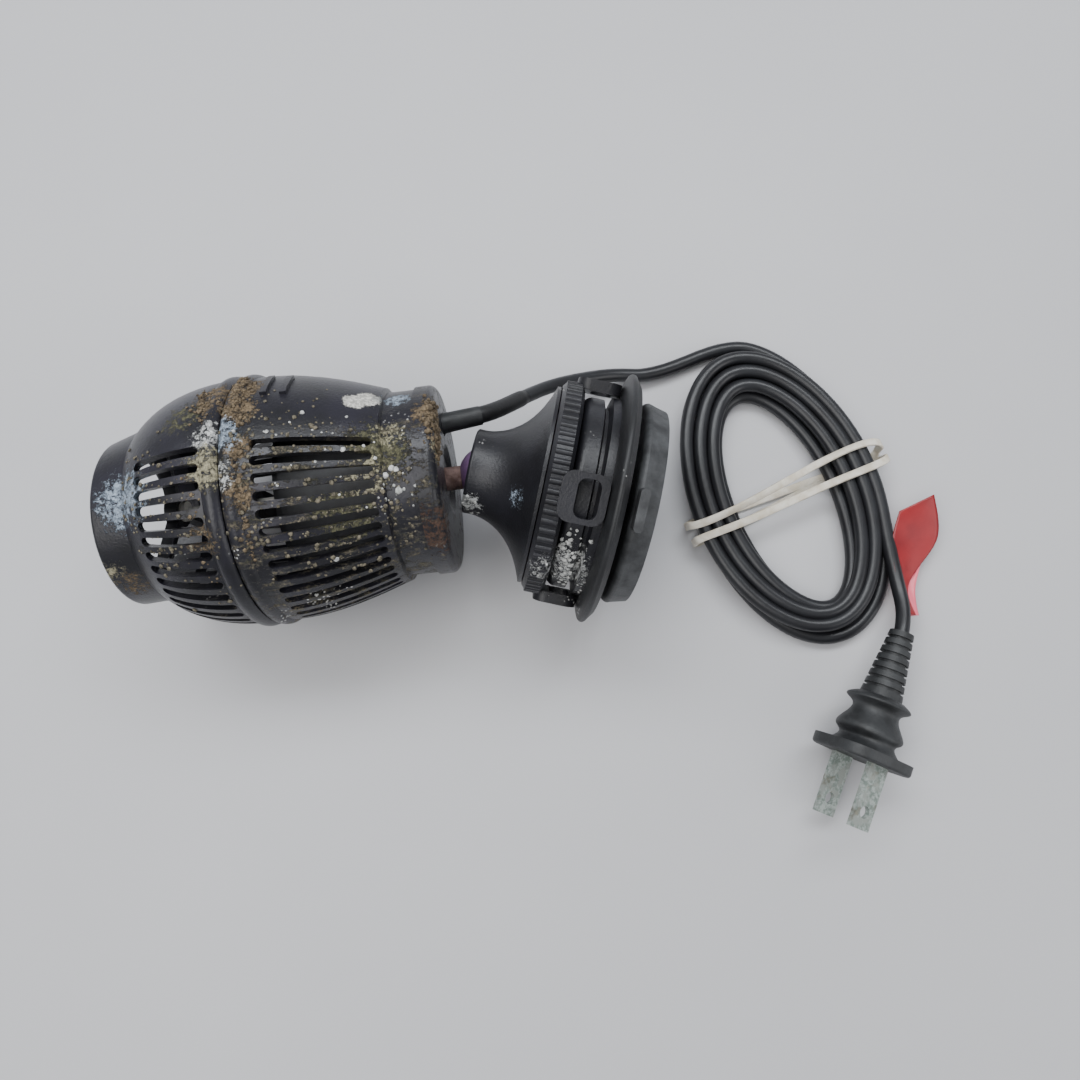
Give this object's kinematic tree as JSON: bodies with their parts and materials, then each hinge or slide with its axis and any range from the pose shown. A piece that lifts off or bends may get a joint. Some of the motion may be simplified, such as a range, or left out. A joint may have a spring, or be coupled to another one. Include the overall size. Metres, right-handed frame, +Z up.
{
  "type": "submersible circulation pump",
  "caption": "Submersible circulation pump with slotted intake cages, an open outlet ring, a ball-jointed twist-lock suction mount and a coiled mains lead with plug.",
  "frame": {"origin": "centre of the base of the pump and mount together, on the surface they lie on, without the mains lead", "axes": "+X along the pump from outlet to suction mount in plan, +Z up"},
  "size_m": [0.2184, 0.1426, 0.0642],
  "materials": {
    "shell": "moulded black plastic with dried algae and lime",
    "impeller": "moulded",
    "housing": "moulded",
    "potting": "cast resin",
    "steel": "stamped",
    "bobbin": "moulded",
    "copper": "enamelled copper wire",
    "ceramic": "ground ceramic",
    "stem": "moulded, encrusted",
    "cord": "satin sheath",
    "band": "matt rubber",
    "plug": "moulded",
    "brass": "tarnished with green corrosion",
    "tag": "printed film, left plain",
    "magnet": "sintered ferrite",
    "liner": "moulded",
    "mount_plastic": "moulded",
    "rubber": "moulded",
    "pad": "frosted soft rubber"
  },
  "bodies": {
    "pump": {"rear_cage": "shell", "end_cap": "shell", "motor_housing": "housing", "motor_potting": "potting", "stator_core": "steel", "coil_bobbins": "bobbin", "coil_windings": "copper", "rotor_well_cover": "housing", "rear_bearing": "ceramic", "ball_stem": "stem", "cable_boot": "cord", "cord_lead": "cord", "cord_coil": "cord", "cord_tail": "cord", "rubber_band": "band", "plug_strain_relief": "plug", "plug_body": "plug", "plug_blades": "brass", "cord_tag": "tag"},
    "front": {"front_cage": "shell", "outlet_nozzle": "shell", "bearing_spider": "shell", "front_bearing": "ceramic"},
    "rotor": {"rotor_shaft": "ceramic", "rotor_magnet": "magnet", "impeller": "impeller", "thrust_washers": "bobbin"},
    "ball_liner": {"ball_liner": "liner"},
    "ball_seat": {"ball_seat": "liner"},
    "mount": {"socket_cone": "mount_plastic", "cup_hub": "mount_plastic", "cup_bell": "rubber"},
    "grip": {"grip_ring": "mount_plastic"},
    "pad": {"suction_pad": "pad", "pull_stud": "mount_plastic", "stud_pin": "steel"}
  },
  "joints": [
    {"name": "rotor_spin", "type": "hinge", "parent": "pump", "child": "rotor", "pos_m": [0.02283, 0.00411, 0.03424], "axis": [0.9993, 0, 0.0384], "continuous": true},
    {"name": "front_cage_twist", "type": "hinge", "parent": "pump", "child": "front", "pos_m": [0.02283, 0.00411, 0.03424], "axis": [0.9993, 0, 0.0384], "range_deg": [0, 20]},
    {"name": "ball_swivel", "type": "hinge", "parent": "pump", "child": "ball_liner", "pos_m": [0.02283, 0.00411, 0.03424], "axis": [0.9993, 0, 0.0384], "range_deg": [-90, 45]},
    {"name": "ball_tilt", "type": "hinge", "parent": "ball_liner", "child": "ball_seat", "pos_m": [0.02283, 0.00411, 0.03424], "axis": [0.0364, 0.321, -0.9464], "range_deg": [-19, 6]},
    {"name": "mount_roll", "type": "hinge", "parent": "ball_seat", "child": "mount", "pos_m": [0.02283, 0.00411, 0.03424], "axis": [0.9488, -0.3083, -0.0681], "continuous": true},
    {"name": "grip_turn", "type": "hinge", "parent": "mount", "child": "grip", "pos_m": [0.02283, 0.00411, 0.03424], "axis": [0.9488, -0.3083, -0.0681], "range_deg": [0, 60]},
    {"name": "pad_lift", "type": "slide", "parent": "mount", "child": "pad", "axis": [-0.9488, 0.3083, 0.0681], "range_m": [0, 0.0016]}
  ],
  "couplings": [
    {"joint": "pad_lift", "follows": "grip_turn", "m_per_rad": 0.00152}
  ]
}
